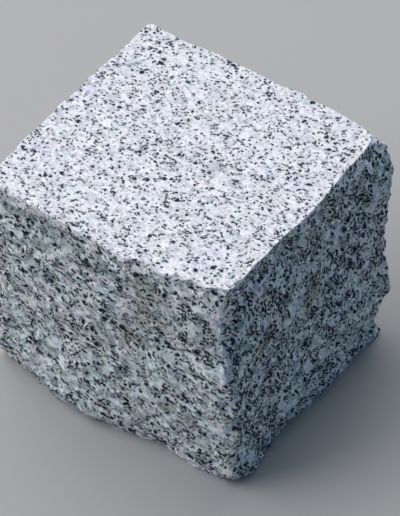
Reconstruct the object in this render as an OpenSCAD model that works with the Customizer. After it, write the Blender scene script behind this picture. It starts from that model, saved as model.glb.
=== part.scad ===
// Granite paving sett: one block of granite, split on four sides.
// The wearing face on top and the bed underneath are flat and level. The four sides are cleft: they
// lean, bow, swell and ripple as the rock broke. Millimetres, +Z up, origin at the middle of the bed.

/* [Block] */
// Length of the wearing face between its corners, along X
block_l = 100; // [75:1:130]
// Width of the wearing face between its corners, along Y
block_w = 95; // [75:1:130]
// Height of the wearing face above the bed
block_h = 96; // [70:1:130]
// Radius of the upright corners in plan
corner_r = 2.5; // [2:0.5:12]

/* [Lean of the sides] */
// How far the front left foot corner stands outside the corner above it, along X and along Y
foot_front_left = [5, -1]; // [-8:0.5:8]
// The same for the front right foot corner
foot_front_right = [4, -1]; // [-8:0.5:8]
// The same for the back right foot corner
foot_back_right = [6, -3]; // [-8:0.5:8]
// The same for the back left foot corner
foot_back_left = [3, 0]; // [-8:0.5:8]

/* [Cleft relief] */
// How far the middle of the front, right, back and left side bows out past its corners
side_bow = [2, 0.5, 2, 2]; // [-1:0.25:5]
// Height of the slow swells that the split left
swell = 0.9; // [0:0.1:2.5]
// Height of the short ripples that the split left
ripple = 0.35; // [0:0.05:1]
// Share of each chip's and each lump's full depth
scar_share = 1; // [0:0.1:1.5]

/* [Worn edges] */
// How far the edge round the wearing face is worn back
top_wear = 0.7; // [0:0.1:2]
// How far the edge round the bed is broken back
foot_wear = 1.5; // [0:0.1:4]
// How far down or up the sides that wear reaches
wear_reach = 2.5; // [1:0.5:6]

/* [Hidden] */

granite_color = "lightgray";
// Points round each corner, along each side, and levels from the bed to the wearing face
corner_steps = 4;
side_steps = 22;
level_steps = 24;
// Depth over which the way out of the block turns at a corner
turn_r = 16;
// The cleft sides run past the bed and the wearing face by this much, and both flat faces then cut them
overrun = 2;
// Larger than the block whichever way it leans
slab_l = 2 * block_l;
slab_w = 2 * block_w;

// Foot corners in the order front left, front right, back right, back left
corner_signs = [[-1, -1], [1, -1], [1, 1], [-1, 1]];
foot_out = [foot_front_left, foot_front_right, foot_back_right, foot_back_left];

// Waves of the cleft: period, heading in plan, climb, phase
swell_waves = [[64, 20, 40, 80], [47, 115, -25, 200], [38, 70, 55, 310]];
ripple_waves = [[19, 10, 35, 90], [15, 100, 50, 10], [16, 60, -40, 250], [12, 140, 15, 130]];

// Chips (out < 0) and lumps (out > 0). Each has its anchor, a corner or the middle of a side at the
// bed (0) or the wearing face (1); its offset from there; its reach across and up; how far out it is.
scars = [
    // Front side, left to right
    [[-1, -1, 0], [0, 0, 0], [20, 10], -2],
    [[-1, -1, 1], [8, 0, -12], [14, 10], -1.2],
    [[0, -1, 0], [-30, 0, 2], [16, 16], 1.2],
    [[0, -1, 0], [-10, 0, 8], [18, 22], 3.5],
    [[0, -1, 0], [22, 0, 0], [9, 10], -3],
    [[1, -1, 1], [-10, 0, -2], [10, 7], -2.5],
    [[1, -1, 1], [0, 0, -16], [8, 13], -3.5],
    [[1, -1, 0], [0, 0, 38], [12, 24], 1.5],
    // Right side, front to back
    [[1, 0, 0], [0, -14, 0], [24, 14], -1],
    [[1, 0, 1], [0, -6, 0], [10, 9], -0.8],
    [[1, 1, 0], [0, -6, 60], [24, 34], 2],
    [[1, 1, 1], [0, 0, -14], [16, 12], 3],
    [[1, 1, 0], [0, 0, 26], [9, 4], 4],
    [[1, 1, 0], [0, 0, 11], [11, 8], -2.5],
    [[1, 1, 1], [0, 0, 0], [8, 5], -3.5],
    // Back side, right to left
    [[0, 1, 0], [14, 0, 38], [22, 26], 2],
    [[-1, 1, 1], [22, 0, -24], [16, 14], -2.5],
    [[-1, 1, 1], [0, 0, 0], [9, 12], 2.2],
    // Left side, back to front
    [[-1, 0, 0], [0, 18, 50], [20, 24], 2],
    [[-1, 0, 0], [0, -16, 0], [16, 14], -2.5]
];

function total(list) = [for (item = list) 1] * list;

function heading(turn, climb) = [cos(turn) * cos(climb), sin(turn) * cos(climb), sin(climb)];

function waves_at(place, waves) =
    total([for (w = waves) sin(360 * (place * heading(w[1], w[2])) / w[0] + w[3])]) / sqrt(len(waves));

function anchor_of(scar) =
    [scar[0][0] * block_l / 2, scar[0][1] * block_w / 2, scar[0][2] * block_h] + scar[1];

function scar_at(place, scar) =
    let (away = place - anchor_of(scar), across = [away.x, away.y] / scar[2][0], up = away.z / scar[2][1])
    scar[3] * exp(-(across * across) - up * up);

// Plan of the block's corners and sides, as [x, y]
function corner_arc(c) =
    let (signs = corner_signs[c])
    [for (k = [0:corner_steps])
        let (turn = 180 + 90 * c + 90 * k / corner_steps)
        [signs.x * (block_l / 2 - corner_r) + corner_r * cos(turn),
         signs.y * (block_w / 2 - corner_r) + corner_r * sin(turn)]];

function side_line(from, to) =
    [for (k = [1:side_steps - 1]) from + (to - from) * k / side_steps];

arcs = [for (c = [0:3]) corner_arc(c)];
plan = [for (c = [0:3])
    each concat(arcs[c], side_line(arcs[c][corner_steps], arcs[(c + 1) % 4][0]))];

// Bilinear share of each foot corner's stand at a place in plan
function foot_share(x, y, signs) = (1 + signs.x * 2 * x / block_l) * (1 + signs.y * 2 * y / block_w) / 4;

function foot_shift(x, y) =
    total([for (c = [0:3])
        let (signs = corner_signs[c])
        foot_share(x, y, signs) * [signs.x * foot_out[c].x, signs.y * foot_out[c].y]]);

// The way out of the block: square to a side, and turning gently within turn_r of a corner
function outward(x, y) =
    let (far_x = max(0, abs(x) - block_l / 2 + turn_r), far_y = max(0, abs(y) - block_w / 2 + turn_r))
    [sign(x) * far_x, sign(y) * far_y] / norm([far_x, far_y]);

// The bow is full at the middle of a side and nothing at its corners
function bow_at(x, y) =
    let (
        out = outward(x, y),
        across_bow = out.x * out.x * side_bow[x > 0 ? 1 : 3] + out.y * out.y * side_bow[y > 0 ? 2 : 0],
        along = min(abs(2 * x / block_l), abs(2 * y / block_w)))
    across_bow * (1 - along * along);

function wear_at(z) =
    top_wear * exp(-max(0, block_h - z) / wear_reach) + foot_wear * exp(-max(0, z) / wear_reach);

// How far a place on the side stands out from the plan, by everything except the lean
function relief_at(place) =
    bow_at(place.x, place.y) + swell * waves_at(place, swell_waves)
    + ripple * waves_at(place, ripple_waves) - wear_at(place.z)
    + scar_share * total([for (s = scars) scar_at(place, s)]);

function side_point(x, y, z) =
    let (spot = [x, y] + (1 - z / block_h) * foot_shift(x, y) + relief_at([x, y, z]) * outward(x, y))
    [spot.x, spot.y, z];

// Levels crowd towards the two flat faces, where the edges are worn
function level(k) = block_h * (1 - cos(180 * k / level_steps)) / 2;

levels = concat([-overrun], [for (k = [1:level_steps - 1]) level(k)], [block_h + overrun]);
ring_size = len(plan);
ring_count = len(levels);

// Rings of points up the sides, closed below and above by a fan round a middle point
module cleft_block() {
    rings = [for (z = levels) each [for (spot = plan) side_point(spot.x, spot.y, z)]];
    low_middle = len(rings);
    high_middle = low_middle + 1;
    last = (ring_count - 1) * ring_size;
    walls = [for (r = [0:ring_count - 2], k = [0:ring_size - 1])
        let (low = r * ring_size, high = low + ring_size, next = (k + 1) % ring_size)
        each [[low + k, high + k, high + next], [low + k, high + next, low + next]]];
    low_fan = [for (k = [0:ring_size - 1]) [low_middle, k, (k + 1) % ring_size]];
    high_fan = [for (k = [0:ring_size - 1]) [high_middle, last + (k + 1) % ring_size, last + k]];
    polyhedron(
        points = concat(rings, [[0, 0, levels[0]], [0, 0, levels[ring_count - 1]]]),
        faces = concat(walls, low_fan, high_fan));
}

module sett() {
    color(granite_color)
        intersection() {
            cleft_block();
            translate([-slab_l / 2, -slab_w / 2, 0]) cube([slab_l, slab_w, block_h]);
        }
}

sett();
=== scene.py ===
"""Granite paving sett: the stone's broken and worked surface, the floor that it stands on, and its light.

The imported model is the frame. The stone is one new mesh laid over the model's own surface and roughened as
granite breaks, and it stands for the plain CAD block. The stone is worked out in millimetres. The floor, the
lamps and the camera are set out in metres, except where a name ends in mm.
"""

import math
import random

import bpy
import numpy as np
from bpy.props import FloatProperty, FloatVectorProperty, IntProperty, PointerProperty
from mathutils import Matrix, Quaternion, Vector, noise
from mathutils.bvhtree import BVHTree


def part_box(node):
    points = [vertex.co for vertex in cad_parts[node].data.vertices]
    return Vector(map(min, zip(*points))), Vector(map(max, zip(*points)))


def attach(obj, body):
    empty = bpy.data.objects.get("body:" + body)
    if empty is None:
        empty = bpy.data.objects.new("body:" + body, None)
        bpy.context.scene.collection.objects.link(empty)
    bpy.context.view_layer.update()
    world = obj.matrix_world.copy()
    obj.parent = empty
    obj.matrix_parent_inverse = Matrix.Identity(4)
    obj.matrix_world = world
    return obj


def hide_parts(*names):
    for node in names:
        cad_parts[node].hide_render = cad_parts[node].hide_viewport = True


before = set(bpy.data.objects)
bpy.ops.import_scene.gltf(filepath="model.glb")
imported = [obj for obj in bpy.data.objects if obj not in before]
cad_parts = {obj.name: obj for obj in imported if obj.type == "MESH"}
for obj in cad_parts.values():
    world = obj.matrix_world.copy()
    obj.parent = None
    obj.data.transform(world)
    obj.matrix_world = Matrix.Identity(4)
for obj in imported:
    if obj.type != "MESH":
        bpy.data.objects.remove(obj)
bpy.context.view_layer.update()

bl_info = {
    "name": "Granite Sett",
    "version": (1, 0, 0),
    "blender": (4, 5, 0),
    "location": "3D View > Sidebar > Sett",
    "description": "Dresses a granite paving sett and sets it on a plain floor",
    "category": "Object",
}

NODE = "sett"
STONE = "sett_stone"
MM = 0.001
# The corners of the CAD block's box, in millimetres
BLOCK_LOW, BLOCK_HIGH = (np.array(corner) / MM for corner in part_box(NODE))
HEIGHT_MM = BLOCK_HIGH[2]


# ---------------------------------------------------------------- colours and nodes

def linear(code):
    """An sRGB hex colour as linear red, green and blue."""
    parts = [int(code[k:k + 2], 16) / 255 for k in (1, 3, 5)]
    return tuple(c / 12.92 if c <= 0.04045 else ((c + 0.055) / 1.055) ** 2.4 for c in parts)


def put(tree, kind, inputs=None, **settings):
    """Adds one node with its settings, and sets or links its inputs by name or number."""
    made = tree.nodes.new(kind)
    for name, value in settings.items():
        setattr(made, name, value)
    for name, value in (inputs or {}).items():
        if isinstance(value, bpy.types.NodeSocket):
            tree.links.new(value, made.inputs[name])
        else:
            made.inputs[name].default_value = value
    return made


def new_material(name):
    """An empty node material and its Principled shader, joined to the output."""
    material = bpy.data.materials.new(name)
    material.use_nodes = True
    tree = material.node_tree
    tree.nodes.clear()
    shader = put(tree, "ShaderNodeBsdfPrincipled")
    put(tree, "ShaderNodeOutputMaterial", {"Surface": shader.outputs["BSDF"]})
    return material, tree, shader


# ---------------------------------------------------------------- properties

class SettSurface(bpy.types.PropertyGroup):
    """Sizes of the stone's surface, in millimetres."""
    cells: IntProperty(
        name="Cells", description="Mesh cells along each side of the block", default=126, min=24, max=130)
    lump_mm: FloatProperty(
        name="Lumps", description="Height of the broken lumps on the split sides", default=0.7, min=0)
    facet_mm: FloatProperty(
        name="Facets", description="Height of the broken grains on the split sides", default=0.8, min=0)
    dent_mm: FloatProperty(
        name="Dents", description="Depth of the hammer's dents in the wearing face", default=0.16, min=0)
    chip_mm: FloatProperty(
        name="Chips", description="Depth of the deepest chips along the arrises", default=0.8, min=0)


class SettGranite(bpy.types.PropertyGroup):
    """Colours and grain of the granite."""
    feldspar: FloatVectorProperty(
        name="Feldspar", description="Feldspar on a split side", subtype="COLOR", min=0, max=1,
        default=linear("#F2F7FA"))
    quartz: FloatVectorProperty(
        name="Quartz", description="Quartz on a split side", subtype="COLOR", min=0, max=1,
        default=linear("#A7B0AD"))
    bruised_feldspar: FloatVectorProperty(
        name="Bruised Feldspar", description="Feldspar whitened by the hammer", subtype="COLOR", min=0, max=1,
        default=linear("#F9F5FC"))
    bruised_quartz: FloatVectorProperty(
        name="Bruised Quartz", description="Quartz whitened by the hammer", subtype="COLOR", min=0, max=1,
        default=linear("#E0E2E9"))
    mica: FloatVectorProperty(
        name="Mica", description="Black mica flakes", subtype="COLOR", min=0, max=1,
        default=linear("#081C30"))
    altered: FloatVectorProperty(
        name="Altered Rim", description="Greenish stone close round the mica", subtype="COLOR", min=0, max=1,
        default=linear("#6C8283"))
    stain: FloatVectorProperty(
        name="Stain", description="Earth left in the groove of the front side", subtype="COLOR", min=0, max=1,
        default=linear("#9A967C"))
    grain_mm: FloatProperty(
        name="Grain", description="Size of the quartz and feldspar grains, in millimetres", default=1.5,
        min=0.2)
    flake_mm: FloatProperty(
        name="Flake", description="Spacing of the mica flakes, in millimetres", default=2.0, min=0.2)


class SettStage(bpy.types.PropertyGroup):
    """The floor, the light and the camera."""
    floor: FloatVectorProperty(
        name="Floor", description="Colour of the floor", subtype="COLOR", min=0, max=1,
        default=linear("#B6B2B0"))
    lamp_power: FloatProperty(
        name="Lamp", description="Power of the soft lamp, in watts", default=92, min=0)
    fill_power: FloatProperty(
        name="Fill", description="Power of the low lamp on the shaded side, in watts", default=6.4, min=0)
    heading: FloatProperty(
        name="Heading", description="Camera's heading round the stone", subtype="ANGLE",
        default=math.radians(37.5))
    pitch: FloatProperty(
        name="Pitch", description="Camera's height above the horizon", subtype="ANGLE",
        default=math.radians(46.8))
    roll: FloatProperty(
        name="Roll", description="Camera's turn about its own line of sight", subtype="ANGLE",
        default=math.radians(-1.8))
    distance: FloatProperty(
        name="Distance", description="From the camera to the stone", unit="LENGTH", default=0.96, min=0.3)


# ---------------------------------------------------------------- the net over the block

# Spacing of the net's lines next to each edge: fine enough to round the edge and chip it
EDGE_STEPS_MM = (0.3, 0.35, 0.4, 0.5, 0.65, 0.8)
# The sides are measured from a core this far inside the block, where its corners begin to turn
CORE_DEPTH_MM = 16
# The lowest and highest rays run this far inside the bed and the wearing face
RAY_INSET_MM = 0.02
# The sides have this many cells fewer up them than along them
FEWER_UP = 6
# The squares' distances from the arris are measured in this many lots, to save memory
LOTS = 32


def spread(count, length):
    """count + 1 places from 0 to 1, close together next to both ends."""
    edge = np.array(EDGE_STEPS_MM) / length
    plain = count - 2 * len(edge)
    middle = np.full(plain, (1 - 2 * edge.sum()) / plain)
    return np.concatenate([[0.0], np.cumsum(np.concatenate([edge, middle, edge[::-1]]))])


def plan_rays(cells):
    """Start and heading, in plan, of the ray behind each upright line of the net, from the front left on."""
    low, high = BLOCK_LOW[:2], BLOCK_HIGH[:2]
    corners = [low, np.array([high[0], low[1]]), high, np.array([low[0], high[1]])]
    rays = []
    for side in range(4):
        start, end = corners[side], corners[(side + 1) % 4]
        for share in spread(cells, np.linalg.norm(end - start))[:-1]:
            place = start + share * (end - start)
            near = np.clip(place, low + CORE_DEPTH_MM, high - CORE_DEPTH_MM)
            rays.append((near, (place - near) / np.linalg.norm(place - near)))
    return rays


def side_rings(cells, levels):
    """Where level rays meet the CAD block: an array of levels by lines by three, in millimetres."""
    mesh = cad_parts[NODE].data
    corners = [v.co / MM for v in mesh.vertices]
    block = BVHTree.FromPolygons(corners, [tuple(p.vertices) for p in mesh.polygons])
    rays = plan_rays(cells)
    rings = np.empty((len(levels), len(rays), 3))
    for r, share in enumerate(levels):
        z = share * HEIGHT_MM
        at = min(max(z, RAY_INSET_MM), HEIGHT_MM - RAY_INSET_MM)
        for k, (start, heading) in enumerate(rays):
            hit = block.ray_cast(Vector((*start, at)), Vector((*heading, 0)))[0]
            if hit is None:
                raise RuntimeError("the CAD block has a gap at line %d, height %.1f mm" % (k, at))
            rings[r, k] = (hit.x, hit.y, z)
    return rings


def filled(ring, cells, shares):
    """A net of places, cells + 1 each way, spanned between the four sides of a closed ring."""
    front = ring[0:cells + 1]
    right = ring[cells:2 * cells + 1]
    back = ring[2 * cells:3 * cells + 1][::-1]
    left = np.concatenate([ring[3 * cells:], ring[:1]])[::-1]
    u = shares[None, :, None]
    v = shares[:, None, None]
    across = (1 - v) * front[None] + v * back[None]
    along = (1 - u) * left[:, None] + u * right[:, None]
    near = (1 - u) * (1 - v) * front[0] + u * (1 - v) * front[-1]
    return across + along - (near + (1 - u) * v * back[0] + u * v * back[-1])


# The map's charts as column and row of a sheet three wide and two high: four sides, wearing face, bed
CHARTS = ((0, 1), (1, 1), (2, 1), (0, 0), (1, 0), (2, 0))
# Margin inside each chart, as a share of it
CHART_GAP = 0.006


def block_quads(ids):
    """Quads of a net of point numbers, rows going up and columns going round."""
    return np.stack([ids[:-1, :-1], ids[:-1, 1:], ids[1:, 1:], ids[1:, :-1]], -1).reshape(-1, 4)


def block_map(across, up, chart):
    """Map places of the same quads, inside one chart."""
    u = (chart[0] + CHART_GAP + (1 - 2 * CHART_GAP) * across) / 3
    v = (chart[1] + CHART_GAP + (1 - 2 * CHART_GAP) * up) / 2
    grid = np.stack(np.meshgrid(u, v), -1)
    return np.stack([grid[:-1, :-1], grid[:-1, 1:], grid[1:, 1:], grid[1:, :-1]], -2).reshape(-1, 4, 2)


class Net:
    """Point numbers of one closed net: rings up the sides, and a square over the wearing face and the bed."""

    def __init__(self, cells):
        self.cells = cells
        self.lines = 4 * cells
        self.levels = spread(cells - FEWER_UP, HEIGHT_MM)
        self.shares = spread(cells, BLOCK_HIGH[0] - BLOCK_LOW[0])
        self.side_count = len(self.levels) * self.lines
        self.side = np.arange(self.side_count).reshape(-1, self.lines)
        inner = (cells - 1) ** 2
        self.top = self.square(self.side[-1], self.side_count)
        self.bed = self.square(self.side[0], self.side_count + inner)
        self.count = self.side_count + 2 * inner
        self.quads, self.corners = self.faces()

    def square(self, ring, first):
        """Point numbers of a square net whose rim is the ring."""
        n = self.cells
        ids = np.empty((n + 1, n + 1), int)
        ids[1:-1, 1:-1] = first + np.arange((n - 1) ** 2).reshape(n - 1, n - 1)
        ids[0, :] = ring[0:n + 1]
        ids[:, -1] = ring[n:2 * n + 1]
        ids[-1, ::-1] = ring[2 * n:3 * n + 1]
        ids[::-1, 0] = np.append(ring[3 * n:], ring[0])
        return ids

    def faces(self):
        """All quads, and for each of their corners its place on the map."""
        quads, corners = [], []
        for k in range(4):
            span = np.arange(k * self.cells, (k + 1) * self.cells + 1) % self.lines
            quads.append(block_quads(self.side[:, span]))
            corners.append(block_map(self.shares, self.levels, CHARTS[k]))
        quads.append(block_quads(self.top))
        corners.append(block_map(self.shares, self.shares, CHARTS[4]))
        quads.append(block_quads(self.bed)[:, ::-1])
        corners.append(block_map(self.shares, self.shares, CHARTS[5])[:, ::-1])
        return np.concatenate(quads), np.concatenate(corners)

    def places(self, rings):
        """All points, from the rings up the sides."""
        top = filled(rings[-1], self.cells, self.shares)[1:-1, 1:-1]
        bed = filled(rings[0], self.cells, self.shares)[1:-1, 1:-1]
        return np.concatenate([rings.reshape(-1, 3), top.reshape(-1, 3), bed.reshape(-1, 3)])

    def to_arris(self, places):
        """Distance of each point from the nearest arris, along the surface."""
        rings = places[:self.side_count].reshape(-1, self.lines, 3)
        steps = np.linalg.norm(np.roll(rings, -1, axis=1) - rings, axis=2)
        walked = np.cumsum(steps, axis=1) - steps
        total = steps.sum(axis=1)[:, None]
        upright = np.full(rings.shape[:2], total.max())
        for k in range(4):
            gap = np.abs(walked - walked[:, k * self.cells][:, None])
            upright = np.minimum(upright, np.minimum(gap, total - gap))
        level = np.minimum(rings[:, :, 2], HEIGHT_MM - rings[:, :, 2])
        gaps = np.zeros(self.count)
        gaps[:self.side_count] = np.minimum(upright, level).ravel()
        for ids, ring in ((self.top, rings[-1]), (self.bed, rings[0])):
            for part in np.array_split(ids[1:-1, 1:-1].ravel(), LOTS):
                apart = np.linalg.norm(places[part][:, None, :2] - ring[None, :, :2], axis=2)
                gaps[part] = apart.min(axis=1)
        return gaps


# ---------------------------------------------------------------- how the stone broke

# The rock's grains are drawn out along one direction, and its mica lies loosely in one plane through it
RUN = (0.94, 0, -0.34)
PLANE_NORMAL = (0.21, -0.79, 0.58)
# Share by which lengths along the run are shortened, so that a pattern laid on them comes out longer
SHORTENING = 0.4
# How fast the lumps lose height from each octave to the next, and how much finer that one is
LUMP_FALL = 0.8
LUMP_STEP = 2.1
# How far the facets tilt against the steps between them, and what spreads their draws
FACET_TILT = 2
FACET_SPREAD = 7.3


def shortened(places):
    """The places, with their part along the rock's run shortened."""
    return places - SHORTENING * np.outer(places @ np.array(RUN), RUN)


def lumps(places, size_mm, octaves, shift):
    """Smooth rise and fall of about unit height, in lumps size_mm across."""
    start = Vector(shift)
    return np.array([noise.fractal(Vector(p) / size_mm + start, LUMP_FALL, LUMP_STEP, octaves)
                     for p in places])


def facets(places, size_mm, shift):
    """Flat tilted facets size_mm across with steps between them, of about unit height."""
    start = Vector(shift)
    middle = Vector((0.5, 0.5, 0.5))
    heights = np.empty(len(places))
    for k, place in enumerate(places):
        here = Vector(place) / size_mm + start
        near = noise.voronoi(here)[1][0]
        tilt = noise.cell_vector(near * FACET_SPREAD) - middle
        heights[k] = FACET_TILT * tilt.dot(here - near) + tilt.x
    return heights


def ease(low, high, x):
    """0 up to low, 1 from high on, and a smooth change between."""
    t = np.clip((x - low) / (high - low), 0, 1)
    return t * t * (3 - 2 * t)


def ring_normals(rings):
    """Outward directions of the sides, level on the first and last ring."""
    along = np.roll(rings, -1, axis=1) - np.roll(rings, 1, axis=1)
    up = np.gradient(rings, axis=0)
    out = np.cross(along, up)
    out[0, :, 2] = 0
    out[-1, :, 2] = 0
    return out / np.linalg.norm(out, axis=2)[:, :, None]


def faces_sideways(places):
    """1 on the two sides that face along X, and 0 on the two that face along Y."""
    reach = np.abs(places[:, :2]) / BLOCK_HIGH[:2]
    return ease(-0.1, 0.1, reach[:, 0] - reach[:, 1])


# Radius of the near upright corner that is built out, and the heights over which it starts and ends
CORNER_MM = 1.8
CORNER_FOOT_MM = (2, 20)
CORNER_HEAD_MM = (HEIGHT_MM - 20, HEIGHT_MM - 4)
# The most that a square corner stands out past a round one, as a share of the radius
CORNER_SHARE = 0.4
# How fully the corner is built out on the whole, how much that varies from lump to lump, and the most of it
CORNER_FULL = 0.8
CORNER_VARIES = 0.9
CORNER_MOST = 1.6
CORNER_LUMP_MM = 6


def near_corner(places, out):
    """How far the block's rounded corner at +X and -Y is built out, to be sharp between its worn ends."""
    turned = np.minimum(1 / np.abs(out[:, :2]).max(axis=1) - 1, CORNER_SHARE)
    height = places[:, 2]
    middle = ease(*CORNER_FOOT_MM, height) * (1 - ease(*CORNER_HEAD_MM, height))
    ragged = CORNER_FULL + CORNER_VARIES * lumps(places, CORNER_LUMP_MM, 3, (8.2, 5.1, 0.6))
    here = (places[:, 0] > 0) & (places[:, 1] < 0)
    return CORNER_MM * turned * middle * np.clip(ragged, 0, CORNER_MOST) * here


# Where the stone stands out past the block, or back from it: middle, reach along each axis, height
SWELLINGS = (
    # The far corner of the wearing face
    ((50.5, 47.5, HEIGHT_MM - 2), (5, 5, 6), 2.0),
    # The arrises at the back and on the left
    ((35, 49, HEIGHT_MM), (10, 6, 5), 0.6),
    ((-50, 32, HEIGHT_MM), (6, 10, 5), 0.7),
    ((-49, -33, HEIGHT_MM), (6, 9, 5), -0.6),
    # Along the right arris
    ((49, -34, HEIGHT_MM), (6, 11, 5), 1.5),
    ((50, 2, HEIGHT_MM), (6, 24, 5), 0.8),
    # The middle of the front arris
    ((6, -50, HEIGHT_MM), (13, 6, 5), 1.2),
    # The arris between the front and the right side
    ((51, -46, 73), (4, 6, 6), -1.4),
    ((51, -46, 58), (4, 6, 7), 1.4),
    ((52, -47, 21), (4, 6, 6), -1.0),
    # The foot of the right side
    ((51.5, -31, 1), (6, 8, 5), 2.0),
    ((54, 4, 1), (6, 10, 5), -1.3),
    ((53.5, 38, 1), (6, 5, 4), 0.9),
)


def swellings(places):
    """How far each place stands out or back by the swellings."""
    height = np.zeros(len(places))
    for middle, reach, most in SWELLINGS:
        height += most * np.exp(-(((places - middle) / reach) ** 2).sum(axis=1))
    return height


# Sizes across the broken lumps, and across the two sizes of broken grain
LUMP_SIZE_MM = 8
GRAIN_SIZE_MM = 3.0
SMALL_GRAIN_SIZE_MM = 1.7
# Height of the small grains as a share of the large ones'
SMALL_GRAIN_SHARE = 0.5
# How far down from the arris the sides were dressed, how much of the relief that took off at the arris
# itself, and how much more of it on the sides that face along X
DRESSED_MM = 4
DRESSED_SHARE = 0.5
DRESSED_MORE = 0.4


def split_sides(net, surface):
    """The rings up the sides, broken out and in from the block."""
    rings = side_rings(net.cells, net.levels)
    flat_rings = rings.reshape(-1, 3)
    laid = shortened(flat_rings)
    relief = surface.lump_mm * lumps(laid, LUMP_SIZE_MM, 4, (3.1, 7.7, 1.9))
    relief += surface.facet_mm * facets(laid, GRAIN_SIZE_MM, (11.3, 2.9, 5.1))
    relief += SMALL_GRAIN_SHARE * surface.facet_mm * facets(laid, SMALL_GRAIN_SIZE_MM, (4.3, 8.8, 2.6))
    # The arris was dressed to a line, so the relief dies out towards it
    dressed = DRESSED_SHARE + DRESSED_MORE * faces_sideways(flat_rings)
    relief *= 1 - dressed * (1 - ease(0, DRESSED_MM, HEIGHT_MM - flat_rings[:, 2]))
    out = ring_normals(rings)
    relief += near_corner(flat_rings, out.reshape(-1, 3)) + swellings(flat_rings)
    return rings + out * relief.reshape(rings.shape[:2])[:, :, None]


# Size across the hammer's dents, and how far in from the arris they start
DENT_SIZE_MM = 2.2
DENT_START_MM = 1.5
# Size across the swells among the dents, and their height against the dents'
DENT_SWELL_MM = 3.1
DENT_SWELL_SHARE = 1.5
# How far the dented face rises and falls, and how far it lies down on the whole, in shares of the set depth
DENT_RISE = 0.6
DENT_SINK = 0.9


def dent_wearing_face(places, net, edge, dent_mm):
    """Sinks the hammer's shallow dents into the wearing face."""
    face = net.top.ravel()
    dents = facets(places[face], DENT_SIZE_MM, (0.7, 9.2, 4.4))
    dents += DENT_SWELL_SHARE * lumps(places[face], DENT_SWELL_MM, 3, (6.6, 0.4, 8.1))
    fade = ease(0, DENT_START_MM, edge[face])
    places[face, 2] += dent_mm * fade * (DENT_RISE * dents - DENT_SINK)


def soften(places, quads, share, rounds):
    """Draws each point towards its neighbours' middle by its share."""
    start = quads.ravel()
    end = np.roll(quads, -1, axis=1).ravel()
    count = np.bincount(start, minlength=len(places))
    for _ in range(rounds):
        for axis in range(3):
            middle = np.bincount(start, weights=places[end, axis], minlength=len(places)) / count
            places[:, axis] += share * (middle - places[:, axis])


def scoop(places, centre, reach):
    """Pushes the points within reach of the centre out to that distance, and returns how far each went."""
    away = places - centre
    gap = np.maximum(np.linalg.norm(away, axis=1), 1e-6)
    depth = np.clip(reach - gap, 0, None)
    places += away * (depth / gap)[:, None]
    return depth


# Larger breaks along the arrises: place on the arris, way in, radius of the scoop, depth
BREAKS = (
    ((18, -49.5, HEIGHT_MM - 2), (0.1, 1, -0.5), 6, 1.2),
    ((31, -47, HEIGHT_MM), (-0.2, 0.8, -0.7), 4, 0.9),
    ((39, -46, HEIGHT_MM), (0.3, 0.8, -0.5), 4, 1.0),
    # The near corner of the wearing face, knocked off
    ((46.5, -45.4, HEIGHT_MM - 0.5), (-0.36, 0.86, -0.35), 12, 2.6),
    # The arris between the front and the right side, knocked back
    ((50, -46.5, HEIGHT_MM - 9), (-0.75, 0.65, 0), 9, 2.0),
    ((50.5, -47, 44), (-0.6, 0.8, 0.2), 5, 1.0),
    ((51, -47, 30), (-0.8, 0.6, -0.2), 5, 1.0),
    # The near corner of the foot, blunted
    ((51, -46, 0), (-0.45, 0.85, 0.2), 8, 1.2),
)
# The larger breaks are so many times as rough inside as the small chips
BREAK_ROUGHNESS = 2.5
SMALL_CHIPS = 240
CHIP_RADIUS_MM = (1.5, 5)
# Most chips are on the wearing face's and the bed's arrises, and the rest on the four upright ones
CHIP_WEIGHTS = (4, 4, 1, 1, 1, 1)
# How far a chip's way in turns from square across the arris, and how little of it goes along the arris
CHIP_TURN = (0.5, 1.5)
CHIP_ALONG = 0.15
# The shallowest chip as a share of the deepest. Most are shallow, by this power
CHIP_LEAST = 0.15
CHIP_POWER = 3


def arris_chips(places, net, rough, chip_mm):
    """Breaks chips off the arrises, and returns how deep each point went."""
    draw = random.Random(41)
    cut = np.zeros(len(places))
    for place, way, radius, depth in BREAKS:
        inward = np.array(way) / np.linalg.norm(way)
        centre = np.array(place, float) - inward * (radius - depth)
        cut += scoop(places, centre, radius + BREAK_ROUGHNESS * rough)
    rims = [net.side[-1], net.side[0]] + [net.side[:, k * net.cells] for k in range(4)]
    middle = np.array([0, 0, HEIGHT_MM / 2])
    for _ in range(SMALL_CHIPS):
        rim = draw.choices(rims, CHIP_WEIGHTS)[0]
        place = places[rim[draw.randrange(len(rim))]].copy()
        inward = middle - place
        along = np.abs(inward).argmin()
        inward = np.sign(inward) * np.array([draw.uniform(*CHIP_TURN) for _ in range(3)])
        inward[along] *= CHIP_ALONG
        inward /= np.linalg.norm(inward)
        depth = chip_mm * (CHIP_LEAST + (1 - CHIP_LEAST) * draw.random() ** CHIP_POWER)
        radius = draw.uniform(*CHIP_RADIUS_MM)
        cut += scoop(places, place - inward * (radius - depth), radius + rough)
    return cut


# Inside a chip: size across its facets and its lumps, and their heights
CHIP_FACET_MM = 1.6
CHIP_LUMP_MM = 3
CHIP_FACET_HEIGHT_MM = 0.16
CHIP_LUMP_HEIGHT_MM = 0.25
# How far in from the arris the wear goes: full up to the first, none past the second
WEAR_MM = (0.3, 1.4)
WEAR_SHARE = 0.33
WEAR_ROUNDS = 6
# How much the wear varies, over lengths of this size
WEAR_VARIES = 0.45
WEAR_LUMP_MM = 6


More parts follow.
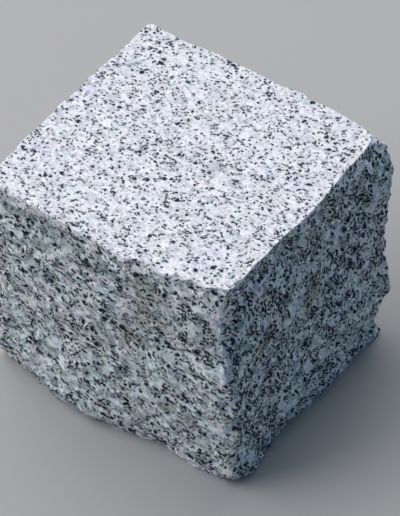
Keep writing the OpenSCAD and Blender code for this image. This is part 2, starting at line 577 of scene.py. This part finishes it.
def break_arrises(places, net, edge, chip_mm):
    """Chips the arrises and wears them round, and returns how deep each point was chipped."""
    rough = CHIP_FACET_HEIGHT_MM * facets(places, CHIP_FACET_MM, (9.9, 1.2, 3.4))
    rough += CHIP_LUMP_HEIGHT_MM * lumps(places, CHIP_LUMP_MM, 3, (1.1, 4.2, 7.3))
    cut = arris_chips(places, net, rough, chip_mm)
    wander = np.clip(lumps(places, WEAR_LUMP_MM, 2, (5.5, 1.2, 8.8)), -1, 1)
    share = WEAR_SHARE * (1 - ease(*WEAR_MM, edge)) * (1 - WEAR_VARIES + WEAR_VARIES * wander)
    soften(places, net.quads, share, WEAR_ROUNDS)
    places[:, 2] = np.clip(places[:, 2], 0, HEIGHT_MM)
    return cut


# ---------------------------------------------------------------- marks on the stone

# In millimetres: middle, and reach along each axis
DARKER_GREENISH = (
    # Darker greenish grey along the shoulder under the left half of the front arris
    ((-36, -50, HEIGHT_MM - 8), (12, 8, 5)),
    ((-16, -50, HEIGHT_MM - 10), (14, 8, 5)),
    ((2, -50, HEIGHT_MM - 12), (10, 8, 5)),
    # Darker greenish grey along the foot of the front side
    ((-28, -50, 3), (20, 10, 3.5)),
    ((0, -50, 2), (14, 10, 3.5)),
    # Two darker greenish grey spots in the wearing face
    ((13, 2.7, HEIGHT_MM), (3.5, 2, 3)),
    ((22, -1, HEIGHT_MM), (3, 2.5, 3)),
)
CROWDED = (
    # Clusters of mica large enough to be known again
    ((-20, -47, HEIGHT_MM), (4, 4, 3)),
    ((-3, -50, HEIGHT_MM - 14), (5, 8, 3.5)),
    ((-20, -50, 46), (5, 8, 3.5)),
    ((-5, -50, 43), (6, 8, 4)),
    ((0, -50, 13), (5, 8, 3.5)),
    ((52.5, -21, 2), (5, 10, 3)),
)
BRUISED = (
    # The left end of the front arris is beaten round
    ((-46, -50, HEIGHT_MM), (20, 9, 9)),
    ((-26, -50, HEIGHT_MM), (18, 8, 5.5)),
    # The far corner of the right arris
    ((52, 48, HEIGHT_MM - 2), (9, 7, 5)),
    # The near corner, where the front and the right arris meet
    ((50, -48, HEIGHT_MM), (5, 5, 3)),
    ((41, -47, HEIGHT_MM - 3), (3.5, 6, 6)),
    ((47, -46, HEIGHT_MM - 8), (5, 6, 4)),
)
SOILED = (
    # Earth in and below the broken groove of the front side
    ((20, -49, HEIGHT_MM - 12), (9, 8, 8)),
    ((18, -49, 71), (10, 8, 10)),
    ((11, -49, 57), (7, 8, 8)),
    # A thin smear on the right side
    ((52, 1, 57), (8, 8, 8)),
    ((52, -27, 60), (8, 6, 6)),
)


# A mark fades between these shares of its reach, and its border is ragged by a share of it, in lumps
MARK_FADE = (0.3, 1.2)
MARK_RAGGED = 0.35
MARK_LUMP_MM = 4


def marked(places, marks):
    """How much of each point the marks cover, fading out round each, with a ragged border."""
    ragged = MARK_RAGGED * lumps(places, MARK_LUMP_MM, 3, (2.2, 6.1, 9.4))
    cover = np.zeros(len(places))
    for middle, reach in marks:
        away = np.linalg.norm((places - middle) / reach, axis=1)
        cover = np.maximum(cover, 1 - ease(*MARK_FADE, away + ragged))
    return cover


# A chip this deep starts to show unbruised stone, and one of the second depth shows nothing else
FRESH_CUT_MM = (0.15, 0.5)
# The bruised rim just over the arris goes down to here: full to the first, none past the second, and less
# by the third on the sides that face along X
RIM_MM = (0.3, 1.7, 1.0)
# Its ragged lower border: size across the lumps of it, and how far they reach up or down
RIM_LUMP_MM = 2.5
RIM_RAGGED_MM = 0.9
# Lines of the net that the rim may reach
RIM_LINES = 8
BRUISE_SHARE = 0.8


def bruised_by_hammer(places, net, cut):
    """How much of each point the hammer has bruised: the wearing face, its rim and the bruised marks."""
    worked = np.zeros(net.count)
    worked[net.top.ravel()] = 1
    worked *= 1 - ease(*FRESH_CUT_MM, cut)
    rim = net.side[-RIM_LINES:].ravel()
    full, none, less = RIM_MM
    drop = HEIGHT_MM - places[rim, 2]
    drop += RIM_RAGGED_MM * lumps(places[rim], RIM_LUMP_MM, 2, (7.7, 3.3, 0.2))
    bruise = 1 - ease(full, none - less * faces_sideways(places[rim]), drop)
    worked[rim] = np.maximum(worked[rim], bruise)
    return np.maximum(worked, BRUISE_SHARE * marked(places, BRUISED))


def stone_masks(places, net, cut):
    """What the granite's material reads at each point, by name."""
    return {
        "worked": bruised_by_hammer(places, net, cut),
        # 1 on the sides that face along X. The granite gives them more mica, partly as painted shade for the
        # shaded right side
        "across": faces_sideways(places),
        # Where the stone is turned darker greenish grey, in the rims' colour
        "darker_greenish": marked(places, DARKER_GREENISH),
        "soiled": marked(places, SOILED),
        "crowded": marked(places, CROWDED),
    }


# ---------------------------------------------------------------- the stone's mesh

# Name of the stone's map
MAP = "OFBake"


def net_mesh(net, places, masks):
    """The net as a smooth mesh in metres, with its map and its masks."""
    mesh = bpy.data.meshes.new(STONE)
    mesh.vertices.add(net.count)
    mesh.vertices.foreach_set("co", (places * MM).ravel())
    mesh.loops.add(net.quads.size)
    mesh.loops.foreach_set("vertex_index", net.quads.ravel().astype(np.int32))
    mesh.polygons.add(len(net.quads))
    mesh.polygons.foreach_set("loop_start", np.arange(0, net.quads.size, 4, dtype=np.int32))
    mesh.polygons.foreach_set("use_smooth", np.ones(len(net.quads), bool))
    mesh.update(calc_edges=True)
    layer = mesh.uv_layers.new(name=MAP)
    layer.uv.foreach_set("vector", net.corners.astype(np.float32).ravel())
    for name, values in masks.items():
        mask = mesh.attributes.new(name, "FLOAT", "POINT")
        mask.data.foreach_set("value", values.astype(np.float32))
    if mesh.validate():
        raise RuntimeError("the stone's mesh had faults")
    return mesh


def make_stone_mesh(surface):
    """The stone's mesh: the block's own surface, split, hammered and chipped."""
    net = Net(surface.cells)
    places = net.places(split_sides(net, surface))
    edge = net.to_arris(places)
    dent_wearing_face(places, net, edge, surface.dent_mm)
    cut = break_arrises(places, net, edge, surface.chip_mm)
    return net_mesh(net, places, stone_masks(places, net, cut))


# ---------------------------------------------------------------- the granite

# The crystals inside each grain. Many real ones are finer and would not show, so all are drawn this coarse
CRYSTAL_MM = 0.6
# Size across the clouds in which feldspar gathers, the slow tints, and the crowds in which mica gathers
CLOUD_MM = 3.846
TINT_MM = 8.333
CROWD_MM = 5.0
# Length of the waves in the borders of grains and of mica flakes, and how far they wander from end to end
BORDER_MM = 1.0
GRAIN_WANDER_MM = 0.55
FLAKE_WANDER_MM = 0.25

# The left and right sides get more and fuller mica than the front and back. This is partly because they cut
# across the mica's plane, and partly painted shade, which darkens the specks of the shaded right side.
# The values in threes are for the front and back sides, the left and right sides, and the wearing face.
# Large and small flakes: spacing as a share of the set one, radius, half thickness, how much they lean to
# the rock's own plane, and the share of places that hold one
FLAKES = (
    {"spacing": 1.0, "radius_mm": 1.02, "half_mm": (0.47, 0.47, 0.37), "lean": 0.8,
     "share": (0.51, 0.67, 0.4)},
    {"spacing": 0.6, "radius_mm": 0.62, "half_mm": (0.36, 0.39, 0.31), "lean": 0.4,
     "share": (0.57, 0.61, 0.62)},
)
# Flakes that hold their place by less than this share of the draw are pale
PALE_SHARE = 0.17
# How strictly the flakes keep along the rock's run: -1 is wholly
FLAKE_ORDER = (-0.45, -0.6, -0.15)
# How far the crystals round a flake may eat into it
EATEN_MM = (0.18, 0.1, 0.24)
# Where a flake fades out, as shares of its half thickness and of its radius, and where its rim does
FLAKE_SIDE = (1.2, 0.8)
FLAKE_BORDER = (1.1, 0.9)
FLAKE_RIM = (1.7, 0.6)
# What a grain's own draw adds to the clouds, and where quartz then goes over to feldspar
GRAIN_SAY = 0.3
FELDSPAR_FADE = (0.44, 0.72)
# How strongly the mica gathers in crowds, and how much a crowded mark adds
CROWDING = (4.8, 4.5, 2)
CROWDED_MORE = 1.5
# The left and right sides' duller crystals are partly painted shade for the shaded right side
# Brightness of the dullest crystals, and of the brightest
DULL_CRYSTAL = (0.74, 0.7, 0.74)
BRIGHT_CRYSTAL = 1.1
# How strongly the grains' own tilts show, and how far their crystals stand out against those tilts
GRAIN_TILT = (0.6, 1.0, 0.15)
CRYSTAL_RISE = 0.15
# Width of the tints on a split side and on the wearing face
SPLIT_TINTS = 0.36
WORKED_TINTS = 0.14
# How far the marks and the rims round the mica turn the stone to their own colour
RIM_SHARE = 0.3
DARKER_GREENISH_SHARE = 0.45
SOILED_SHARE = 0.5
# Typical of granite, and of cleaved mica
GRANITE_IOR = 1.54
GRANITE_ROUGHNESS = 0.85
MICA_ROUGHNESS = 0.7
# A broken face has little sheen
GRANITE_SPECULAR = 0.2


def along_run(tree, vector, more):
    """The vector with its part along the rock's run made longer by the share given."""
    part = put(tree, "ShaderNodeVectorMath", {0: vector, 1: RUN}, operation="DOT_PRODUCT")
    extra = put(tree, "ShaderNodeMath", {0: part.outputs["Value"], 1: more}, operation="MULTIPLY")
    added = put(tree, "ShaderNodeVectorMath", {0: RUN, 3: extra.outputs[0]}, operation="SCALE")
    return put(tree, "ShaderNodeVectorMath", {0: vector, 1: added.outputs[0]}, operation="ADD").outputs[0]


def by_face(tree, masks, values):
    """One of three values, by the face that it is for, going over smoothly from one to the next."""
    front, right, top = values
    side = put(tree, "ShaderNodeMapRange", {"Value": masks["across"], "To Min": front, "To Max": right})
    value = put(tree, "ShaderNodeMapRange", {"Value": masks["worked"], "To Min": side.outputs[0],
                                             "To Max": top})
    return value.outputs[0]


def mica_flakes(tree, place, kind, spacing_mm, half_mm, order, share, eaten):
    """How dark the thin oval flakes are, and 1 fading to 0 in the stone close round them.

    Each flake is turned its own way, but leans to the rock's own plane by its kind's lean, and is turned
    and drawn out along the rock's run by its order. The share of places that hold a flake is a socket, and
    the flakes that only just count are pale. Each is eaten into by the crystals round it.
    """
    # The flakes' own directions run from -1 to 1
    start = tuple(kind["lean"] * part - 1 for part in PLANE_NORMAL)
    cell = put(tree, "ShaderNodeTexVoronoi", {"Vector": place, "Scale": 1 / spacing_mm})
    away = put(tree, "ShaderNodeVectorMath", {0: place, 1: cell.outputs["Position"]}, operation="SUBTRACT")
    turn = put(tree, "ShaderNodeVectorMath", {0: cell.outputs["Color"], 1: (2, 2, 2), 2: start},
               operation="MULTIPLY_ADD")
    turned = along_run(tree, turn.outputs[0], order)
    square = put(tree, "ShaderNodeVectorMath", {0: turned}, operation="NORMALIZE")
    off = put(tree, "ShaderNodeVectorMath", {0: away.outputs[0], 1: square.outputs[0]},
              operation="DOT_PRODUCT")
    depth = put(tree, "ShaderNodeMath", {0: off.outputs["Value"]}, operation="ABSOLUTE")
    depth = put(tree, "ShaderNodeMath", {0: depth.outputs[0], 1: eaten}, operation="ADD")
    depth = put(tree, "ShaderNodeMath", {0: depth.outputs[0], 1: half_mm}, operation="DIVIDE")
    thin = put(tree, "ShaderNodeMapRange", {"Value": depth.outputs[0], "From Min": FLAKE_SIDE[0],
                                            "From Max": FLAKE_SIDE[1]})
    oval = along_run(tree, away.outputs[0], order)
    length = put(tree, "ShaderNodeVectorMath", {0: oval}, operation="LENGTH")
    length = put(tree, "ShaderNodeMath", {0: eaten, 1: length.outputs["Value"]}, operation="ADD").outputs[0]
    radius = kind["radius_mm"]
    near = put(tree, "ShaderNodeMapRange", {"Value": length, "From Min": FLAKE_BORDER[0] * radius,
                                            "From Max": FLAKE_BORDER[1] * radius})
    ring = put(tree, "ShaderNodeMapRange", {"Value": length, "From Min": FLAKE_RIM[0] * radius,
                                            "From Max": FLAKE_RIM[1] * radius})
    draw = put(tree, "ShaderNodeTexWhiteNoise", {"Vector": cell.outputs["Position"]})
    margin = put(tree, "ShaderNodeMath", {0: share, 1: draw.outputs["Value"]}, operation="SUBTRACT")
    darkness = put(tree, "ShaderNodeMapRange", {"Value": margin.outputs[0], "From Max": PALE_SHARE})
    inside = put(tree, "ShaderNodeMath", {0: thin.outputs[0], 1: near.outputs[0]}, operation="MULTIPLY")
    flake = put(tree, "ShaderNodeMath", {0: inside.outputs[0], 1: darkness.outputs[0]}, operation="MULTIPLY")
    halo = put(tree, "ShaderNodeMath", {0: ring.outputs[0], 1: darkness.outputs[0]}, operation="MULTIPLY")
    return flake.outputs[0], halo.outputs[0]


def mica_cover(tree, place, flake_mm, masks, crystal_draw):
    """How dark the mica of both sizes is, and 1 fading to 0 in the stone close round it.

    A split side shows more of it and larger, most of all the left and right sides, which cut across the
    mica's plane. There the extra dark mica is also partly painted shade, which darkens the shaded right
    side's specks.
    """
    crowd = put(tree, "ShaderNodeTexNoise", {"Vector": place, "Scale": 1 / CROWD_MM, "Detail": 2.0})
    lot = put(tree, "ShaderNodeMath", {0: crowd.outputs["Fac"], 1: 0.5}, operation="SUBTRACT")
    lot = put(tree, "ShaderNodeMath", {0: lot.outputs[0], 1: by_face(tree, masks, CROWDING), 2: 1.0},
              operation="MULTIPLY_ADD")
    lot = put(tree, "ShaderNodeMath", {0: masks["crowded"], 1: CROWDED_MORE, 2: lot.outputs[0]},
              operation="MULTIPLY_ADD")
    eaten = put(tree, "ShaderNodeMath", {0: crystal_draw.outputs[2], 1: by_face(tree, masks, EATEN_MM)},
                operation="MULTIPLY")
    order = by_face(tree, masks, FLAKE_ORDER)
    sizes = []
    for kind in FLAKES:
        share = put(tree, "ShaderNodeMath", {0: lot.outputs[0], 1: by_face(tree, masks, kind["share"])},
                    operation="MULTIPLY")
        half_mm = by_face(tree, masks, kind["half_mm"])
        sizes.append(mica_flakes(tree, place, kind, kind["spacing"] * flake_mm, half_mm, order,
                                 share.outputs[0], eaten.outputs[0]))
    (large, large_halo), (small, small_halo) = sizes
    mica = put(tree, "ShaderNodeMath", {0: large, 1: small}, operation="MAXIMUM")
    halo = put(tree, "ShaderNodeMath", {0: large_halo, 1: small_halo}, operation="MAXIMUM")
    return mica.outputs[0], halo.outputs[0]


def grain_tone(tree, finish, laid, kind, worked):
    """Feldspar and quartz grains, gathered in loose clouds, and whiter where the hammer bruised them."""
    cloud = put(tree, "ShaderNodeTexNoise", {"Vector": laid, "Scale": 1 / CLOUD_MM, "Detail": 3.0,
                                             "Roughness": 0.55})
    both = put(tree, "ShaderNodeMath", {0: kind.outputs[0], 1: GRAIN_SAY, 2: cloud.outputs["Fac"]},
               operation="MULTIPLY_ADD")
    clear = put(tree, "ShaderNodeMapRange", {"Value": both.outputs[0], "From Min": FELDSPAR_FADE[0],
                                             "From Max": FELDSPAR_FADE[1]})
    clear = clear.outputs[0]
    split = put(tree, "ShaderNodeMix", {0: clear, 6: (*finish.quartz, 1), 7: (*finish.feldspar, 1)},
                data_type="RGBA")
    bruised = put(tree, "ShaderNodeMix", {0: clear, 6: (*finish.bruised_quartz, 1),
                                          7: (*finish.bruised_feldspar, 1)}, data_type="RGBA")
    tone = put(tree, "ShaderNodeMix", {0: worked, 6: split.outputs[2], 7: bruised.outputs[2]},
               data_type="RGBA")
    return tone.outputs[2]


def crystal_shade(tree, place, crystal_draw, masks):
    """A factor on the grains' colour: brighter and duller crystals, and faint slow tints."""
    dull = by_face(tree, masks, DULL_CRYSTAL)
    sugar = put(tree, "ShaderNodeMapRange", {"Value": crystal_draw.outputs[0], "To Min": dull,
                                             "To Max": BRIGHT_CRYSTAL})
    tint = put(tree, "ShaderNodeTexNoise", {"Vector": place, "Scale": 1 / TINT_MM, "Detail": 3.0,
                                            "Roughness": 0.7})
    tint_off = put(tree, "ShaderNodeVectorMath", {0: tint.outputs["Color"], 1: (0.5, 0.5, 0.5)},
                   operation="SUBTRACT")
    width = put(tree, "ShaderNodeMapRange", {"Value": masks["worked"], "To Min": SPLIT_TINTS,
                                             "To Max": WORKED_TINTS})
    part = put(tree, "ShaderNodeVectorMath", {0: tint_off.outputs[0], 3: width.outputs[0]}, operation="SCALE")
    tinted = put(tree, "ShaderNodeVectorMath", {0: part.outputs[0], 1: (1, 1, 1)}, operation="ADD")
    shade = put(tree, "ShaderNodeVectorMath", {0: tinted.outputs[0], 3: sugar.outputs[0]}, operation="SCALE")
    return shade.outputs[0]


def grain_bump(tree, laid, grain, crystal_draw, masks):
    """Each broken grain tilted its own way, with its crystals a little proud of it or behind it."""
    off = put(tree, "ShaderNodeVectorMath", {0: laid, 1: grain.outputs["Position"]}, operation="SUBTRACT")
    tilt = put(tree, "ShaderNodeVectorMath", {0: grain.outputs["Color"], 1: (0.5, 0.5, 0.5)},
               operation="SUBTRACT")
    step = put(tree, "ShaderNodeVectorMath", {0: off.outputs[0], 1: tilt.outputs[0]}, operation="DOT_PRODUCT")
    rough = put(tree, "ShaderNodeMath", {0: crystal_draw.outputs[1], 1: CRYSTAL_RISE,
                                         2: step.outputs["Value"]}, operation="MULTIPLY_ADD")
    bump = put(tree, "ShaderNodeBump", {"Strength": by_face(tree, masks, GRAIN_TILT), "Distance": MM,
                                        "Height": rough.outputs[0]})
    return bump.outputs[0]


def granite_material(finish):
    """Medium-grained grey granite, its wearing face bush hammered and its sides split.

    The hammer bruises the grains, so the worked face is white with small black flakes. A split side
    looks into the clear quartz, so it is greyer, and each broken grain catches the light its own way.
    """
    material, tree, shader = new_material("granite_split_and_bush_hammered")
    here = put(tree, "ShaderNodeTexCoord").outputs["Object"]
    place = put(tree, "ShaderNodeVectorMath", {0: here, 3: 1 / MM}, operation="SCALE").outputs[0]
    masks = {name: put(tree, "ShaderNodeAttribute", attribute_name=name).outputs["Fac"]
             for name in ("worked", "across", "darker_greenish", "soiled", "crowded")}

    # Borders wander, those of the grains more than those of the flakes
    wave = put(tree, "ShaderNodeTexNoise", {"Vector": place, "Scale": 1 / BORDER_MM, "Detail": 2.0})
    bend = put(tree, "ShaderNodeVectorMath", {0: wave.outputs["Color"], 1: (0.5, 0.5, 0.5)},
               operation="SUBTRACT").outputs[0]
    bent = put(tree, "ShaderNodeVectorMath", {0: bend, 1: (GRAIN_WANDER_MM,) * 3, 2: place},
               operation="MULTIPLY_ADD").outputs[0]
    little_bent = put(tree, "ShaderNodeVectorMath", {0: bend, 1: (FLAKE_WANDER_MM,) * 3, 2: place},
                      operation="MULTIPLY_ADD").outputs[0]

    laid = along_run(tree, bent, -SHORTENING)
    grain = put(tree, "ShaderNodeTexVoronoi", {"Vector": laid, "Scale": 1 / finish.grain_mm})
    kind = put(tree, "ShaderNodeSeparateColor", {0: grain.outputs["Color"]})
    crystal = put(tree, "ShaderNodeTexVoronoi", {"Vector": laid, "Scale": 1 / CRYSTAL_MM})
    crystal_draw = put(tree, "ShaderNodeSeparateColor", {0: crystal.outputs["Color"]})
    tone = grain_tone(tree, finish, laid, kind, masks["worked"])
    shade = crystal_shade(tree, place, crystal_draw, masks)
    colour = put(tree, "ShaderNodeMix", {0: 1.0, 6: tone, 7: shade}, data_type="RGBA",
                 blend_type="MULTIPLY").outputs[2]

    # Over the grains lie the greenish rims of the mica, the darker greenish grey patches, earth, and the mica
    # itself
    mica, halo = mica_cover(tree, little_bent, finish.flake_mm, masks, crystal_draw)
    layers = (
        (halo, RIM_SHARE, finish.altered),
        # The darker greenish grey patches at the front's shoulder and foot and on the wearing face
        (masks["darker_greenish"], DARKER_GREENISH_SHARE, finish.altered),
        (masks["soiled"], SOILED_SHARE, finish.stain),
        (mica, 1.0, finish.mica),
    )
    for cover, most, over in layers:
        share = put(tree, "ShaderNodeMath", {0: cover, 1: most}, operation="MULTIPLY").outputs[0]
        colour = put(tree, "ShaderNodeMix", {0: share, 6: colour, 7: (*over, 1)}, data_type="RGBA").outputs[2]
    tree.links.new(colour, shader.inputs["Base Color"])

    gloss = put(tree, "ShaderNodeMapRange", {"Value": mica, "To Min": GRANITE_ROUGHNESS,
                                             "To Max": MICA_ROUGHNESS})
    tree.links.new(gloss.outputs[0], shader.inputs["Roughness"])
    tree.links.new(grain_bump(tree, laid, grain, crystal_draw, masks), shader.inputs["Normal"])
    shader.inputs["IOR"].default_value = GRANITE_IOR
    shader.inputs["Specular IOR Level"].default_value = GRANITE_SPECULAR
    return material


class SETT_OT_stone(bpy.types.Operator):
    """Lay the roughened granite surface over the CAD block"""
    bl_idname = "sett.stone"
    bl_label = "Dress the Stone"

    def execute(self, context):
        mesh = make_stone_mesh(context.scene.sett_surface)
        mesh.materials.append(granite_material(context.scene.sett_granite))
        stone = bpy.data.objects.new(STONE, mesh)
        context.scene.collection.objects.link(stone)
        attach(stone, "root")
        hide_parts(NODE)
        return {"FINISHED"}


# ---------------------------------------------------------------- floor, light and camera

LENS_MM = 188
# The camera looks this far right of and below the stone's middle
AIM_RIGHT_MM = 4.5
AIM_DOWN_MM = 2.0
FLOOR_RADIUS = 1.5
FLOOR_ROUGHNESS = 0.9
FLOOR_SPECULAR = 0.1
# One long soft lamp stands on the left of the stone, half way up the sky, its front end low and its back end
# high. A low one fills the shaded side, and the surround is dim.
# Place, length and width in metres, turn about its own axis in degrees
LAMP = ((-1.14, -0.18, 1.65), 6.0, 2.0, -36)
FILL = ((2.4, -0.1, 0.3), 3.0, 0.6, 0)
LAMP_COLOUR = "#FFFFFF"
SURROUND = "#A0C7EA"
SURROUND_STRENGTH = 0.24
# What the camera and polish see behind the floor
BACKDROP = "#B2B3B5"


def make_floor(stage):
    """Pale matt concrete, rolled smooth: it shows nothing but the stone's shadow."""
    material, tree, shader = new_material("concrete_smooth_matt")
    shader.inputs["Base Color"].default_value = (*stage.floor, 1)
    shader.inputs["Roughness"].default_value = FLOOR_ROUGHNESS
    shader.inputs["Specular IOR Level"].default_value = FLOOR_SPECULAR
    bpy.ops.mesh.primitive_circle_add(vertices=96, radius=FLOOR_RADIUS, fill_type="NGON")
    floor = bpy.context.object
    floor.name = "floor"
    floor.data.materials.append(material)


def add_lamp(name, power, colour, setting):
    """A soft lamp turned to the stone."""
    place, length, width, turn = setting
    lamp = bpy.data.lights.new(name, "AREA")
    lamp.shape = "RECTANGLE"
    lamp.size = length
    lamp.size_y = width
    lamp.energy = power
    lamp.color = colour
    holder = bpy.data.objects.new(name, lamp)
    holder.location = place
    holder.rotation_mode = "QUATERNION"
    about = Quaternion((0, 0, 1), math.radians(turn))
    holder.rotation_quaternion = Vector(place).to_track_quat("Z", "Y") @ about
    bpy.context.scene.collection.objects.link(holder)


def make_light(stage):
    scene = bpy.context.scene
    add_lamp("soft_lamp", stage.lamp_power, linear(LAMP_COLOUR), LAMP)
    add_lamp("soft_fill", stage.fill_power, linear(SURROUND), FILL)
    world = bpy.data.worlds.new("surround")
    world.use_nodes = True
    tree = world.node_tree
    background = tree.nodes["Background"]
    background.inputs["Color"].default_value = (*linear(SURROUND), 1)
    background.inputs["Strength"].default_value = SURROUND_STRENGTH
    backdrop = put(tree, "ShaderNodeBackground", {"Color": (*linear(BACKDROP), 1), "Strength": 1.0})
    ray = put(tree, "ShaderNodeLightPath")
    seen = put(tree, "ShaderNodeMath", {0: ray.outputs["Is Camera Ray"], 1: ray.outputs["Is Glossy Ray"]},
               operation="MAXIMUM")
    seen = put(tree, "ShaderNodeMath", {0: seen.outputs[0], 1: ray.outputs["Is Transmission Ray"]},
               operation="MAXIMUM")
    either = put(tree, "ShaderNodeMixShader", {0: seen.outputs[0], 1: background.outputs[0],
                                               2: backdrop.outputs[0]})
    tree.links.new(either.outputs[0], tree.nodes["World Output"].inputs["Surface"])
    scene.world = world


def make_camera(stage):
    scene = bpy.context.scene
    data = bpy.data.cameras.new("camera")
    data.lens = LENS_MM
    camera = bpy.data.objects.new("camera", data)
    a, e = stage.heading, stage.pitch
    back = Vector((math.sin(a) * math.cos(e), -math.cos(a) * math.cos(e), math.sin(e)))
    turn = (-back).to_track_quat("-Z", "Y").to_matrix() @ Matrix.Rotation(stage.roll, 3, "Z")
    aim = Vector((0, 0, HEIGHT_MM / 2)) + turn.col[0] * AIM_RIGHT_MM - turn.col[1] * AIM_DOWN_MM
    camera.location = aim * MM + back * stage.distance
    camera.rotation_mode = "QUATERNION"
    camera.rotation_quaternion = turn.to_quaternion()
    scene.collection.objects.link(camera)
    scene.camera = camera


class SETT_OT_stage(bpy.types.Operator):
    """Set out the floor, the light and the camera"""
    bl_idname = "sett.stage"
    bl_label = "Set the Stage"

    def execute(self, context):
        stage = context.scene.sett_stage
        context.scene.view_settings.view_transform = "Standard"
        make_floor(stage)
        make_light(stage)
        make_camera(stage)
        return {"FINISHED"}


# ---------------------------------------------------------------- panel and registration

class SETT_PT_panel(bpy.types.Panel):
    """Sidebar panel with the sett's sizes, colours and steps"""
    bl_label = "Granite Sett"
    bl_idname = "SETT_PT_panel"
    bl_space_type = "VIEW_3D"
    bl_region_type = "UI"
    bl_category = "Sett"

    def draw(self, context):
        scene = context.scene
        for group in (scene.sett_surface, scene.sett_granite, scene.sett_stage):
            box = self.layout.box()
            for name in group.__annotations__:
                box.prop(group, name)
        for operator in OPERATORS:
            self.layout.operator(operator.bl_idname)


GROUPS = {"sett_surface": SettSurface, "sett_granite": SettGranite, "sett_stage": SettStage}
OPERATORS = (SETT_OT_stone, SETT_OT_stage)
CLASSES = (*GROUPS.values(), *OPERATORS, SETT_PT_panel)


def register():
    for cls in CLASSES:
        bpy.utils.register_class(cls)
    for name, group in GROUPS.items():
        setattr(bpy.types.Scene, name, PointerProperty(type=group))


def unregister():
    for name in GROUPS:
        delattr(bpy.types.Scene, name)
    for cls in reversed(CLASSES):
        bpy.utils.unregister_class(cls)


def main():
    register()
    bpy.ops.sett.stone()
    bpy.ops.sett.stage()
    bpy.context.view_layer.update()


if __name__ == "__main__":
    main()
